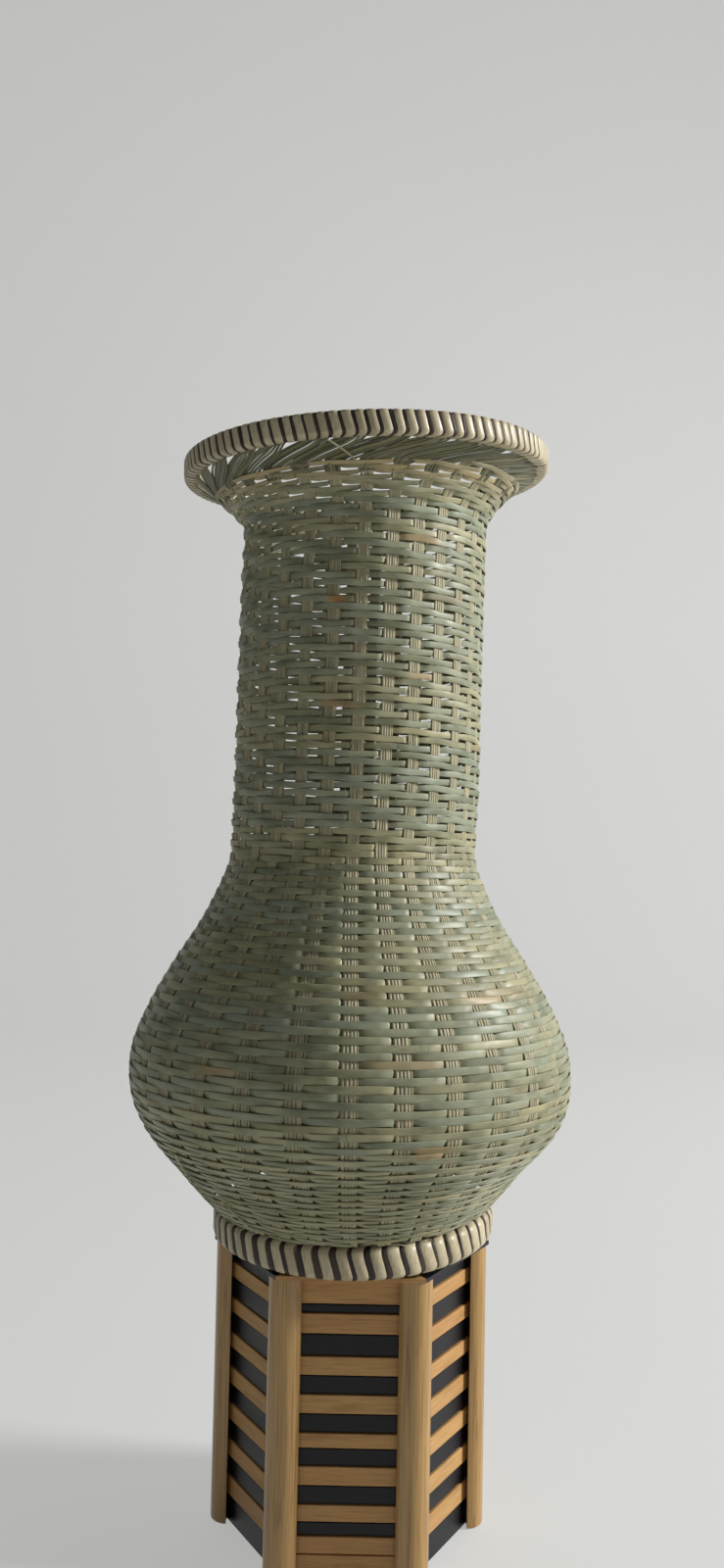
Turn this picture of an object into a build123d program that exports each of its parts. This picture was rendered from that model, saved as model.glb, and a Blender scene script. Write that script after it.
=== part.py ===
from build123d import *
import math
import os

# A woven bamboo vase that stands on a six-sided bamboo stand. Millimetres, Z up, the viewer
# looks along +Y at a face of the stand. The origin is on the ground, on the stand's axis.

# Stand
stand_reach = 58.0  # from the axis to the outermost line of a corner post
post_radius = 7.1  # each post is half of a round cane, flat side inwards
post_height = 116.5
post_foot_rounding = 1.4
post_count = 6
slat_face_distance = 45.4  # from the axis to the outer face of the natural slats
natural_slat_thickness = 3.0
black_slat_thickness = 2.4
slat_gap = 0.45  # daylight between two slats
mitre_gap = 0.2  # between the slats of two neighbouring faces, behind a post
slat_edge_rounding = 0.35
board_face_distance = 51.2  # from the axis to the outer edge of the board, over the posts
board_thickness = 1.6
edging_width = 9.0  # of the flat strips that frame the board and lie on the posts and slats

# Seat of the vase on the stand
seat_gap = 0.3

# Foot ring of the vase
foot_radius = 59.9  # over the binding
foot_ring_height = 13.2
foot_ring_width = 6.8
foot_ring_rounding = 3.0
foot_strip_thickness = 0.9
foot_wrap_count = 54

# Basket
belly_bottom_radius = 60.0
belly_radius = 95.0
belly_height = 190.5  # level of the widest place, above the ground
neck_radius = 53.8
shoulder_height = 284.0  # where the neck starts
mouth_height = 424.0  # where the neck ends and the mouth starts to flare
weave_thickness = 1.6
stake_thickness = 0.8
stake_width = 6.2
stake_count = 29
stake_slack = 0.1  # between the uprights and the weave that they carry
first_stake_angle = -90.0  # degrees, one upright stands in the middle of the front
slit_height = 1.6  # one row of openings stands for several turns of the weft
slit_row_spacing = 11.4
slit_bridge = 7.4  # of weave left between two openings of a row, at the neck
floor_thickness = 1.8

# Mouth and rim. The whole mouth leans a little, as the weaver left it.
mouth_lean_front = 2.8  # degrees, the front edge dips
mouth_lean_side = -2.7  # degrees, the right-hand edge rises
rim_radius = 80.0  # over the binding
rim_middle_rise = 29.0  # from the start of the mouth to the middle of the rim
rim_band_height = 9.6
rim_band_width = 7.0
rim_band_rounding = 1.5
rim_strip_thickness = 0.8
rim_outer_hoop_width = 2.1
strip_slack = 0.05  # between a binding strip and its hoop
rim_wrap_count = 102
border_rise = 18.6  # from the start of the mouth to the start of the slanted border
border_radius = 68.0  # of the basket, outside, where the border starts
border_drop = 1.6  # from the rim's underside down to where the border turns upright
border_hole_width = 4.4
border_hole_height = 4.2

corner_cuts = 2  # flat cuts that work each corner of a hoop round

# Shares of a wrap's pitch that the pale and the dark strip cover
pale_strip_share = 0.66
dark_strip_share = 0.28

# Heights of the slats from the top of a face down, as shares of the whole stack.
# The front face starts with a natural slat, its two neighbours with a black one,
# and on every face the lowest slat has the colour of the top one.
natural_first_shares = [
    0.095, 0.030, 0.070, 0.073, 0.065, 0.062, 0.065, 0.062,
    0.052, 0.058, 0.065, 0.061, 0.058, 0.045, 0.060, 0.079,
]
black_first_shares = [
    0.074, 0.058, 0.070, 0.055, 0.071, 0.056, 0.066, 0.064,
    0.065, 0.063, 0.067, 0.062, 0.066, 0.070, 0.093,
]

# Outline of the belly. Each pair is a share of the rise and a share of the swell.
lower_belly_shares = [(0.19, 0.26), (0.34, 0.45), (0.49, 0.66), (0.64, 0.835), (0.81, 0.96)]
upper_belly_shares = [(0.14, 0.960), (0.32, 0.790), (0.50, 0.555), (0.68, 0.295), (0.86, 0.095)]
# Outline of the mouth from the neck to the border, in shares of the rise and of the flare
mouth_shares = [(0.33, 0.12), (0.65, 0.47)]
# How far below the rim's middle the border ends, as a share of the rim band's height
border_end_share = 0.25


def turned(shape, count, start_angle, step_number):
    """The shape turned about the axis to its place in a ring of like places."""
    return Rot(0, 0, start_angle + step_number * 360.0 / count) * shape


def prism(points, bottom, top):
    """A straight solid over a closed outline drawn in the ground plane."""
    outline = make_face(Polyline(*points, close=True))
    return Pos(0, 0, bottom) * extrude(outline, amount=top - bottom)


def revolved(outline_edges):
    """A solid of revolution about the axis, from edges in the XZ plane."""
    return revolve(make_face(outline_edges), axis=Axis.Z)


def save(name, solids):
    """Write one sub-part, given as a list of separate solids."""
    shape = solids[0] if len(solids) == 1 else Compound(children=list(solids))
    shape.label = name
    export_step(shape, "parts/" + name + ".step")
    print(name, "solids", len(solids), "volume", round(sum(s.volume for s in solids)))


# The stand

def corner_post():
    """Half of a round cane, standing at +X with its flat side towards the axis."""
    flat_distance = stand_reach - post_radius
    arc_top = (flat_distance, post_radius)
    arc_middle = (stand_reach, 0)
    arc_bottom = (flat_distance, -post_radius)
    outline = make_face([ThreePointArc(arc_top, arc_middle, arc_bottom), Line(arc_bottom, arc_top)])
    post = extrude(outline, amount=post_height)
    round_edge = post.edges().filter_by(GeomType.CIRCLE).sort_by(Axis.Z)[0]
    return fillet(round_edge, post_foot_rounding)


def slat_outline(outer_distance, inner_distance):
    """A slat seen from above: mitred at the corners, with a flat seat against each post."""
    post_flat = stand_reach - post_radius
    half_angle = math.radians(180.0 / post_count)
    gap_shift = mitre_gap / 2.0
    seat_start = (post_flat - outer_distance * math.cos(half_angle)) / math.sin(half_angle)
    corner_out = post_flat * math.cos(half_angle) + gap_shift * math.sin(half_angle)
    corner_side = post_flat * math.sin(half_angle) - gap_shift * math.cos(half_angle)
    inner_side = inner_distance * math.tan(half_angle) - gap_shift / math.cos(half_angle)
    half = [(seat_start, outer_distance), (corner_side, corner_out), (inner_side, inner_distance)]
    return half + [(-x, y) for x, y in reversed(half)]


def slat(thickness, bottom, top):
    """One slat on the face at +Y, its two outer long edges eased."""
    inner_distance = slat_face_distance - natural_slat_thickness
    solid = prism(slat_outline(inner_distance + thickness, inner_distance), bottom, top)
    front_edges = solid.faces().sort_by(Axis.Y)[-1].edges().filter_by(Axis.X)
    return fillet(front_edges, slat_edge_rounding)


def slat_stack(shares, starts_black):
    """The natural and the black slats of one face, listed apart."""
    natural, black = [], []
    level = post_height
    lowest = len(shares) - 1
    for number, share in enumerate(shares):
        is_black = starts_black if number in (0, lowest) else (number % 2 == 0) == starts_black
        bottom = level - post_height * share / sum(shares)
        low = bottom if bottom < slat_gap else bottom + slat_gap
        if is_black:
            black.append(slat(black_slat_thickness, low, level))
        else:
            natural.append(slat(natural_slat_thickness, low, level))
        level = bottom
    return natural, black


def hexagon_points(face_distance):
    """Corners of a six-sided outline with a flat side at +Y."""
    corner = face_distance / math.cos(math.radians(180.0 / post_count))
    step = 2.0 * math.pi / post_count
    return [(corner * math.cos(i * step), corner * math.sin(i * step)) for i in range(post_count)]


def edging_strip():
    """One flat strip of the board's edging, on the side at +Y, mitred at both ends."""
    inner = board_face_distance - edging_width
    slope = math.tan(math.radians(180.0 / post_count))
    points = [
        (inner * slope, inner),
        (board_face_distance * slope, board_face_distance),
        (-board_face_distance * slope, board_face_distance),
        (-inner * slope, inner),
    ]
    return prism(points, post_height, post_height + board_thickness)


def build_stand():
    """Six posts, six faces of slats, and the board with its edging."""
    post = corner_post()
    natural_first = slat_stack(natural_first_shares, False)
    black_first = slat_stack(black_first_shares, True)
    strip = edging_strip()
    natural_edging, black_edging = [], []
    first_face_angle = 180.0  # the face at +Y is turned to the front
    for i in range(post_count):
        save("corner_post_%d" % (i + 1), [turned(post, post_count, 0, i)])
        natural, black = natural_first if i % 2 == 0 else black_first
        face = [turned(s, post_count, first_face_angle, i) for s in natural]
        save("natural_slats_%d" % (i + 1), face)
        face = [turned(s, post_count, first_face_angle, i) for s in black]
        save("black_slats_%d" % (i + 1), face)
        edging = natural_edging if i % 2 == 0 else black_edging
        edging.append(turned(strip, post_count, first_face_angle, i))
    board_points = hexagon_points(board_face_distance - edging_width)
    save("top_board", [prism(board_points, post_height, post_height + board_thickness)])
    save("board_edging_natural", natural_edging)
    save("board_edging_black", black_edging)


# Hoops and the strips wound on them

def band_face(outer_radius, middle_height, width, height, rounding):
    """The section of a hoop in the XZ plane, an upright oblong with its corners worked round."""
    middle = outer_radius - width / 2.0
    corners = [(1, 1, 0), (-1, 1, 90), (-1, -1, 180), (1, -1, 270)]
    points = []
    for side, end, first_angle in corners:
        centre_out = middle + side * (width / 2.0 - rounding)
        centre_up = middle_height + end * (height / 2.0 - rounding)
        for i in range(corner_cuts + 1):
            angle = math.radians(first_angle + 90.0 * i / corner_cuts)
            points.append((centre_out + rounding * math.cos(angle), 0,
                           centre_up + rounding * math.sin(angle)))
    return make_face(Polyline(*points, close=True))


def hoop(outer_radius, middle_height, width, height, rounding):
    """A plain hoop."""
    section = band_face(outer_radius, middle_height, width, height, rounding)
    return revolve(section, axis=Axis.Z)


def strip_section(outer_radius, middle_height, width, height, rounding, thickness):
    """The section of a binding strip that goes all round a hoop, a little clear of it."""
    inset_by = thickness - strip_slack
    outer = band_face(outer_radius, middle_height, width, height, rounding)
    core = band_face(
        outer_radius - inset_by, middle_height, width - 2.0 * inset_by,
        height - 2.0 * inset_by, rounding - inset_by,
    )
    return outer - core


def wound_strips(section, wraps):
    """The pale and the dark turns of a binding, each a short piece of a ring."""
    pitch = 360.0 / wraps
    pale_turn = revolve(section, axis=Axis.Z, revolution_arc=pitch * pale_strip_share)
    dark_turn = revolve(section, axis=Axis.Z, revolution_arc=pitch * dark_strip_share)
    dark_start = pitch * (pale_strip_share + (1.0 - pale_strip_share - dark_strip_share) / 2.0)
    pale = [turned(pale_turn, wraps, 0, i) for i in range(wraps)]
    dark = [turned(dark_turn, wraps, dark_start, i) for i in range(wraps)]
    return [s.solid() for s in pale], [s.solid() for s in dark]


# The basket

vase_bottom = post_height + board_thickness + seat_gap
foot_top = vase_bottom + foot_ring_height


def basket_points():
    """Outside of the basket from the foot ring to the start of the neck, as (radius, height)."""
    lower_rise = belly_height - foot_top
    lower_swell = belly_radius - belly_bottom_radius
    upper_rise = shoulder_height - belly_height
    upper_swell = belly_radius - neck_radius
    points = [(belly_bottom_radius, foot_top)]
    for rise_share, swell_share in lower_belly_shares:
        height = foot_top + lower_rise * rise_share
        points.append((belly_bottom_radius + lower_swell * swell_share, height))
    points.append((belly_radius, belly_height))
    for rise_share, swell_share in upper_belly_shares:
        height = belly_height + upper_rise * rise_share
        points.append((neck_radius + upper_swell * swell_share, height))
    points.append((neck_radius, shoulder_height))
    return points


def mouth_points():
    """Outside of the basket from the start of the mouth to the border."""
    points = [(neck_radius, mouth_height)]
    for rise_share, flare_share in mouth_shares:
        height = mouth_height + border_rise * rise_share
        points.append((neck_radius + (border_radius - neck_radius) * flare_share, height))
    points.append((border_radius, mouth_height + border_rise))
    return points


rim_middle = mouth_height + rim_middle_rise
clamped_radius = rim_radius - rim_strip_thickness - rim_outer_hoop_width


def border_points():
    """Outside of the border, from the mouth's weave up into the slot between the rim's hoops."""
    rim_bottom = rim_middle - rim_band_height / 2.0
    return [
        (border_radius, mouth_height + border_rise),
        (clamped_radius, rim_bottom - border_drop),
        (clamped_radius, rim_middle - rim_band_height * border_end_share),
    ]


def inset(points, distance, start_direction, end_direction):
    """The points moved inwards, square to the line through their neighbours."""
    moved = []
    for i, (radius, height) in enumerate(points):
        if i == 0:
            run, rise = start_direction
        elif i == len(points) - 1:
            run, rise = end_direction
        else:
            run = points[i + 1][0] - points[i - 1][0]
            rise = points[i + 1][1] - points[i - 1][1]
        length = math.hypot(run, rise)
        moved.append((radius - distance * rise / length, height + distance * run / length))
    return moved


def shell(points, near, far, start_direction, end_direction):
    """A shell of revolution between two depths inside a smooth outline."""
    outside = inset(points, near, start_direction, end_direction)
    inside = inset(points, far, start_direction, end_direction)
    tangents = [(start_direction[0], 0, start_direction[1]), (end_direction[0], 0, end_direction[1])]
    outer_line = Spline(*[(r, 0, h) for r, h in outside], tangents=tangents)
    inner_line = Spline(*[(r, 0, h) for r, h in inside], tangents=tangents)
    bottom = Line(inner_line @ 0, outer_line @ 0)
    top = Line(outer_line @ 1, inner_line @ 1)
    return revolved([outer_line, top, inner_line, bottom])


def tube(outer_radius, inner_radius, bottom, top):
    """A straight tube."""
    points = [(outer_radius, bottom), (outer_radius, top), (inner_radius, top), (inner_radius, bottom)]
    return revolved(Polyline(*[(r, 0, h) for r, h in points], close=True))


def mouth_place():
    """The lean of the mouth, about the middle of the neck's upper end."""
    lean = Rot(mouth_lean_front, mouth_lean_side, 0)
    return Pos(0, 0, mouth_height) * lean * Pos(0, 0, -mouth_height)


def below_mouth(solid, clearance):
    """The solid cut off square to the mouth's lean, at a clearance under the mouth's start."""
    middle = mouth_place() * Pos(0, 0, mouth_height - clearance)
    return split(solid, bisect_by=Plane(middle), keep=Keep.BOTTOM)


def weave_slits(bottom, top):
    """Rows of openings, each from one upright past the next to the one after that.

    Each row starts one upright further on, as a weft does that goes over one and under one.
    """
    step = 360.0 / stake_count
    half_angle = math.radians(step) - slit_bridge / neck_radius / 2.0
    near = neck_radius / 2.0
    far = belly_radius + weave_thickness
    half_near, half_far = near * math.tan(half_angle), far * math.tan(half_angle)
    outline = [(near, -half_near), (far, -half_far), (far, half_far), (near, half_near)]
    row_count = int((top - bottom) / slit_row_spacing)
    first_row = (bottom + top - (row_count - 1) * slit_row_spacing) / 2.0
    slits = []
    for row in range(row_count):
        middle = first_row + row * slit_row_spacing
        slit = prism(outline, middle - slit_height / 2.0, middle + slit_height / 2.0)
        for place in range(stake_count // 2):
            slits.append(turned(slit, stake_count, first_stake_angle, row + 1 + 2 * place))
    return slits


def build_basket():
    """Belly, neck, mouth, border, uprights and floor."""
    straight_up = (0, 1)
    belly_start = (1.0, 1.0)
    belly_line = basket_points()
    stake_face = weave_thickness + stake_slack
    stake_depth = stake_face + stake_thickness
    neck_overrun = rim_middle_rise
    neck_top = mouth_height + neck_overrun
    belly = shell(belly_line, 0, weave_thickness, belly_start, straight_up)
    widest = Plane.XY.offset(belly_height)
    save("lower_belly_weave", [split(belly, bisect_by=widest, keep=Keep.BOTTOM).solid()])
    upper_belly = split(belly, bisect_by=widest, keep=Keep.TOP) - weave_slits(belly_height, shoulder_height)
    save("upper_belly_weave", [upper_belly.solid()])

    neck_inside = neck_radius - weave_thickness
    neck = below_mouth(tube(neck_radius, neck_inside, shoulder_height, neck_top), 0)
    neck_slits = weave_slits(shoulder_height, mouth_height - slit_height)
    save("neck_weave", [(neck - neck_slits).solid()])

    mouth_line = mouth_points()
    flare_end = (border_points()[1][0] - border_radius, border_points()[1][1] - mouth_line[-1][1])
    mouth = shell(mouth_line, 0, weave_thickness, straight_up, flare_end)
    save("mouth_weave", [(mouth_place() * mouth).solid()])

    stake_shell = shell(belly_line, stake_face, stake_depth, belly_start, straight_up)
    stake_tube = tube(neck_radius - stake_face, neck_radius - stake_depth, shoulder_height, neck_top)
    uprights = stake_shell + below_mouth(stake_tube, stake_slack)
    slab_length = belly_radius * 2.0
    slab = Pos(slab_length / 2.0, 0, 0) * Box(slab_length, stake_width, neck_top * 2.0)
    stake = (uprights & slab).solid()
    ring = [turned(stake, stake_count, first_stake_angle, i).solid() for i in range(stake_count)]
    save("uprights", ring)

    stake_foot_radius = inset(belly_line, stake_depth, belly_start, straight_up)[0][0]
    floor_radius = stake_foot_radius - stake_thickness
    floor = Pos(0, 0, foot_top + floor_thickness / 2.0) * Cylinder(floor_radius, floor_thickness)
    save("woven_floor", [floor.solid()])


def border_hole(middle_radius, middle_height, slope_degrees):
    """A three-cornered prism that runs through the border at +X."""
    reach = weave_thickness * 3.0
    corners = [
        (-border_hole_width / 2.0, -border_hole_height / 2.0),
        (border_hole_width / 2.0, -border_hole_height / 2.0),
        (0, border_hole_height / 2.0),
    ]
    outline = make_face(Polyline(*corners, close=True))
    across = Plane(origin=(middle_radius, 0, middle_height), x_dir=(0, 1, 0),
                   z_dir=(math.cos(math.radians(slope_degrees)), 0, -math.sin(math.radians(slope_degrees))))
    return extrude(across * outline, amount=reach, both=True)


def build_mouth_border():
    """The slanted ends of the uprights under the rim, as a pierced collar."""
    start, corner, end = border_points()
    run, rise = corner[0] - start[0], corner[1] - start[1]
    length = math.hypot(run, rise)
    step_out, step_up = weave_thickness * rise / length, weave_thickness * run / length
    inner_corner_height = corner[1] + step_up - (weave_thickness - step_out) * rise / run
    points = [
        start, corner, end,
        (end[0] - weave_thickness, end[1]),
        (corner[0] - weave_thickness, inner_corner_height),
        (start[0] - step_out, start[1] + step_up),
    ]
    collar = revolved(Polyline(*[(r, 0, h) for r, h in points], close=True))
    slope_degrees = math.degrees(math.atan2(run, rise))
    hole = border_hole((start[0] + corner[0]) / 2.0, (start[1] + corner[1]) / 2.0, slope_degrees)
    holes = [turned(hole, stake_count, first_stake_angle, i) for i in range(stake_count)]
    pierced = collar - holes
    save("mouth_border", [(mouth_place() * pierced).solid()])


def build_rim():
    """Two hoops that clamp the border, and the binding round them."""
    section = strip_section(
        rim_radius, rim_middle, rim_band_width, rim_band_height, rim_band_rounding,
        rim_strip_thickness,
    )
    slot = Plane.XZ * Pos(clamped_radius - weave_thickness / 2.0, rim_middle - rim_band_height / 2.0)
    pale, dark = wound_strips(section - slot * Rectangle(weave_thickness, rim_band_height), rim_wrap_count)
    place = mouth_place()
    save("rim_binding_pale", [(place * s).solid() for s in pale])
    save("rim_binding_dark", [(place * s).solid() for s in dark])
    core_width = rim_band_width - 2.0 * rim_strip_thickness
    core_height = rim_band_height - 2.0 * rim_strip_thickness
    inner_hoop_width = core_width - rim_outer_hoop_width - weave_thickness
    hoop_rounding = rim_band_rounding - rim_strip_thickness
    outer_radius = rim_radius - rim_strip_thickness
    inner_radius = clamped_radius - weave_thickness
    outer = hoop(outer_radius, rim_middle, rim_outer_hoop_width, core_height, hoop_rounding)
    inner = hoop(inner_radius, rim_middle, inner_hoop_width, core_height, hoop_rounding)
    save("rim_hoop_outer", [(place * outer).solid()])
    save("rim_hoop_inner", [(place * inner).solid()])


def build_foot():
    """The foot hoop with its binding."""
    middle_height = vase_bottom + foot_ring_height / 2.0
    section = strip_section(
        foot_radius, middle_height, foot_ring_width, foot_ring_height, foot_ring_rounding,
        foot_strip_thickness,
    )
    pale, dark = wound_strips(section, foot_wrap_count)
    save("foot_binding_pale", pale)
    save("foot_binding_dark", dark)
    core = hoop(
        foot_radius - foot_strip_thickness, middle_height,
        foot_ring_width - 2.0 * foot_strip_thickness,
        foot_ring_height - 2.0 * foot_strip_thickness,
        foot_ring_rounding - foot_strip_thickness,
    )
    save("foot_hoop", [core.solid()])


os.makedirs("parts", exist_ok=True)
build_stand()
build_basket()
build_mouth_border()
build_rim()
build_foot()
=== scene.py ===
import math
from functools import partial

import bpy
import numpy as np
from mathutils import Euler, Matrix, Vector


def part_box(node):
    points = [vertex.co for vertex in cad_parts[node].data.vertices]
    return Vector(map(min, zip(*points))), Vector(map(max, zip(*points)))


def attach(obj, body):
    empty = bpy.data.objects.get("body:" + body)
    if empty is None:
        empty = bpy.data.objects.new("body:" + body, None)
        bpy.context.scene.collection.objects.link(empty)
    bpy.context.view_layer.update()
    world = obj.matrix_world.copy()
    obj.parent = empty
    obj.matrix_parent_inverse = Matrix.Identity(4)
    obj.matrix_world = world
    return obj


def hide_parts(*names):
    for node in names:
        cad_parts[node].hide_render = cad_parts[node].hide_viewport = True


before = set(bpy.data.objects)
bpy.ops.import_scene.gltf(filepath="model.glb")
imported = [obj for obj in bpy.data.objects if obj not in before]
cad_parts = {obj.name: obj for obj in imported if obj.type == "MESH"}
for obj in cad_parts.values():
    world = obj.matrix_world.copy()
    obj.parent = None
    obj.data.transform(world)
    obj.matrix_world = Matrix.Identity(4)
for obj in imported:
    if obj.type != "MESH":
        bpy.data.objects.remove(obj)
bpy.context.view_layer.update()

bl_info = {
    "name": "Woven bamboo vase",
    "version": (1, 0, 0),
    "blender": (4, 5, 0),
    "location": "View3D > Sidebar > Bamboo vase",
    "description": "Builds the woven vase and its stand round the packed model",
    "category": "Object",
}

MM = 0.001
TURN = 2.0 * math.pi
MATH = "ShaderNodeMath"

# Levels and radii of the basket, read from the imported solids, in metres
BELLY_LOW, BELLY_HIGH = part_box("lower_belly_weave")
FLOOR_LOW, FLOOR_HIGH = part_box("woven_floor")
FOOT_LOW, FOOT_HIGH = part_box("foot_binding_pale")
BELLY_RADIUS = BELLY_HIGH[0]
NECK_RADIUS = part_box("neck_weave")[1][0]
BASKET_BOTTOM = BELLY_LOW[2]
BELLY_HEIGHT = BELLY_HIGH[2]
SHOULDER_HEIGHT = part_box("upper_belly_weave")[1][2]
FOOT_RADIUS = FOOT_HIGH[0]
FOOT_RING_HEIGHT = FOOT_HIGH[2] - FOOT_LOW[2]
FOOT_MIDDLE = FOOT_LOW[2] + FOOT_RING_HEIGHT / 2.0

# Sizes that the boxes don't give, the same as in the solids
BELLY_BOTTOM_RADIUS = 60.0 * MM
MOUTH_HEIGHT = 424.0 * MM
BORDER_RISE = 18.6 * MM
BORDER_RADIUS = 68.0 * MM
RIM_MIDDLE = MOUTH_HEIGHT + 29.0 * MM
RIM_RADIUS = 80.0 * MM
RIM_BAND_HEIGHT = 9.6 * MM
RIM_BAND_WIDTH = 7.0 * MM
RIM_CORNER = 1.5 * MM
CLAMPED_RADIUS = 77.1 * MM
BORDER_DROP = 1.6 * MM  # the wall bends under the rim's band, this far below it and inside it
FOOT_BAND_WIDTH = 6.8 * MM
FOOT_CORNER = 3.0 * MM
STRIP_THICKNESS = 0.8 * MM
LEAN_FRONT = math.radians(2.8)
LEAN_SIDE = math.radians(-2.7)
LEAN_REACH = 16.0 * MM  # the lean sets in over this much below and above the mouth's level
LOWER_BELLY_SHARES = [(0.19, 0.26), (0.34, 0.45), (0.49, 0.66), (0.64, 0.835), (0.81, 0.96)]
UPPER_BELLY_SHARES = [(0.14, 0.960), (0.32, 0.790), (0.50, 0.555), (0.68, 0.295), (0.86, 0.095)]
MOUTH_SHARES = [(0.33, 0.12), (0.65, 0.47)]
WALL_DEPTH = 1.25 * MM  # from the outside of the weave to the middle of the wall

# The real basket swells a little to one side and its neck drifts back: level, sideways shift
DRIFT = [(0.121, 0.3 * MM), (0.134, -0.6 * MM), (0.153, -1.8 * MM), (0.170, -1.6 * MM),
         (0.195, -2.4 * MM), (0.229, -2.7 * MM), (0.263, -3.0 * MM), (0.284, -2.9 * MM),
         (0.314, -2.0 * MM), (0.357, -1.6 * MM), (0.401, -1.0 * MM), (0.427, -0.3 * MM),
         (0.453, 0.9 * MM)]

# The foot touches the board at the front and lifts off towards the back and the right
LIFT_BACK = 2.2 * MM
LIFT_RIGHT = 2.4 * MM
LIFT_START = 0.3  # where the lift to the right sets in, left of the middle, in foot radii
LIFT_END = 0.168  # above this level the weave no longer follows the foot's lift

# Rise of the weft in one turn, by level. It is packed tight at the foot and under the rim.
NECK_PITCH = 3.28 * MM
PITCHES = [(0.134, 1.75 * MM), (0.150, 1.95 * MM), (0.165, 2.3 * MM), (0.185, 2.85 * MM),
           (0.215, 3.0 * MM), (0.245, 2.7 * MM), (0.270, 2.65 * MM), (0.290, 2.95 * MM),
           (0.315, 3.2 * MM), (0.340, NECK_PITCH), (0.424, NECK_PITCH), (0.431, 2.7 * MM),
           (0.443, 2.3 * MM)]

# Width of the weft as a share of its pitch, by level. The belly is closed, the neck has slits.
WEFT_WIDTH_SHARES = [(0.134, 1.38), (0.150, 1.34), (0.165, 1.18), (0.185, 1.0), (0.240, 0.98),
                     (0.270, 0.93), (0.295, 0.81), (0.320, 0.73), (0.424, 0.73), (0.432, 0.80),
                     (0.443, 0.82)]
# How far the weft leans, top edge outwards, by level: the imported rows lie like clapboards
WEFT_LEANS = [(0.134, 0.42), (0.160, 0.30), (0.185, 0.14), (0.260, 0.10), (0.424, 0.05)]
WEFT_START = 1.0 * MM  # above the wall's lower edge
WEFT_OVERRUN = 0.5 * MM  # past the start of the border
TWILL_CLOSING = 0.36 * MM  # two rows over the same upright slide towards each other by this much
NECK_FADE = 16.0 * MM  # the weft loses its neck shape until the wall is this much wider
STRIP_LENGTHS = (240.0 * MM, 900.0 * MM)  # shortest and longest strip of the weft

# Bends of the weft beside an upright. The lengths are shares of the dip and of the free length.
HIDDEN_SHARE = 0.48  # of an upright's width, to each side of its middle
SHARP_BEND = (0.5, 0.3)
SLOW_BEND = (1.6, 0.6)
FLOAT_BOW = (0.25, 0.5)  # how far a float bows out on the belly, and how much more on the neck
FLOAT_FALL = (0.42, 0.14)  # how far it falls back at its end, and how much more on the neck
FLOAT_SWELL = (0.12, 0.18)  # how much it widens and a dip narrows, and more where packed

# Rows near the foot are beaten down
PACKED_LENGTH = 42.0 * MM  # up the wall
PACKED_FLATTENING = 0.4  # share of its swing that the weft loses
PACKED_WAVE = 0.4 * MM  # a row rises and falls once in four uprights
PACKED_DROP = 0.3 * MM  # a float lies lower than a dip

# How unevenly the strips are laid: how far, over which length, and a seed
WEFT_PROUD_NOISE = (0.05 * MM, 57.0 * MM, 3)
WEFT_LEVEL_NOISES = [(0.12 * MM, 41.0 * MM, 5), (0.12 * MM, 173.0 * MM, 6)]
WEFT_LEAN_NOISE = (0.10, 29.0 * MM, 8)
WEFT_WIDTH_NOISE = (0.03, 83.0 * MM, 9)

# Lengths of weft that have turned orange or straw-coloured: first and last angle, level, strength
ODD_LENGTHS = [(-105, -95, 0.3853, 1.0), (-94, -84, 0.3853, 0.5), (-107, -86, 0.3445, 0.45),
               (-78, -54, 0.4120, 0.3), (-62, -40, 0.3900, 0.25), (-70, -50, 0.3560, 0.3),
               (-92, -80, 0.2306, 0.35), (-93, -64, 0.2060, 0.2), (-76, -64, 0.1750, 0.35),
               (-60, -30, 0.2290, 0.2), (-128, -116, 0.2020, 0.3), (-50, -32, 0.1960, 0.2),
               (-104, -95, 0.2850, 0.3), (20, 40, 0.2100, 0.3), (60, 75, 0.3600, 0.7),
               (110, 125, 0.2500, 0.3), (150, 170, 0.3200, 0.4), (-170, -158, 0.1900, 0.3),
               (95, 106, 0.4000, 0.4), (-20, -8, 0.3300, 0.3)]
ODD_REACH = 1.6 * MM  # to each side of its level
ODD_FADE = 2.5  # degrees at each end
GOLDEN_ROWS = (0.4340, 0.4385)  # the last rows turn straw-coloured between these levels
GOLDEN_STRENGTH = 0.18

# Splints that lie loose on the belly, and a strip's end that crosses under the rim:
# first and last angle, first and last level, how far they stand off in millimetres
LOOSE_SPLINTS = [(-141, -146, 0.1662, 0.1440, 1.9), (-133, -128, 0.1485, 0.1352, 1.9),
                 (-139, -129, 0.1470, 0.1400, 1.6), (-101, -94, 0.4480, 0.4425, 1.4)]

STAKES = 29
FRONT = -math.pi / 2.0  # one upright stands at the middle of the front
BELLY_SPREAD = 0.32  # how much wider the uprights are on the belly than on the neck
SPLINT_GROWTH = 0.55  # share of that spread that each splint takes in its own width
# Each upright has four wide splints and a thin one at its right, made pale as a painted highlight
# on the edge that the key light catches: places and widths as shares of the upright's width
SPLINT_PLACES, SPLINT_WIDTH = (-0.39, -0.16, 0.07, 0.28), 0.245
PAINTED_HIGHLIGHT_PLACE, EDGE_WIDTH = 0.455, 0.11
EDGE_THICKNESS = 0.8  # of a wide splint's
STAKE_START = 0.3 * MM  # above the wall's lower edge
STAKE_SWAY = 0.005  # most turn of a whole upright off its place, in radians
STAKE_DRIFT = (0.004, 160.0 * MM)  # how far it wanders, in radians, and over which length
SPLINT_STRAY = (0.025, 75.0 * MM)  # how far a splint wanders, in widths of its upright
SPLINT_DEPTH = (0.03, 50.0 * MM)  # how far it wanders in and out, in millimetres
PACKED_STAND_OFF = 0.22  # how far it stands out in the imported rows, in millimetres

BINDING_ROOM = 1.1 * STRIP_THICKNESS  # between a hoop and the outside of its band
BINDING_SLANT = -0.27  # sideways run of a turn for its height, the other way on the inside

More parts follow.
